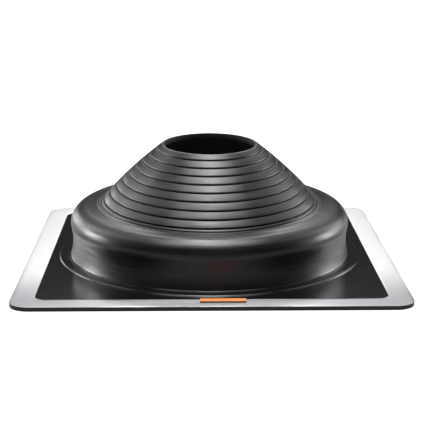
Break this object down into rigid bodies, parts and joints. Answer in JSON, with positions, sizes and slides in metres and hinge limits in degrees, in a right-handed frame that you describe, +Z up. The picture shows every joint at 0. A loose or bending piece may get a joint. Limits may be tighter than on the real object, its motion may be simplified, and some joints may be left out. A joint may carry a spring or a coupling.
{
  "type": "pipe flashing boot",
  "caption": "Square-based roof flashing for round pipes: a stepped rubber cone on a round dome, with a flat flange and a bonded aluminium frame.",
  "frame": {"origin": "centre of the underside, on the surface that the flange lies on", "axes": "+Z up along the cone's axis towards the pipe opening, +X and +Y along the flange's sides, the label towards -Y"},
  "size_m": [0.254, 0.254, 0.0821],
  "materials": {
    "boot_rubber": "black moulded EPDM rubber with a satin sheen and fine moulding marks",
    "frame_aluminium": "mill-finish soft aluminium sheet",
    "label_vinyl": "plain orange vinyl sticker with a black band and no print"
  },
  "bodies": {
    "root": {"boot": "boot_rubber", "flange_frame": "frame_aluminium", "label": "label_vinyl"}
  },
  "joints": []
}
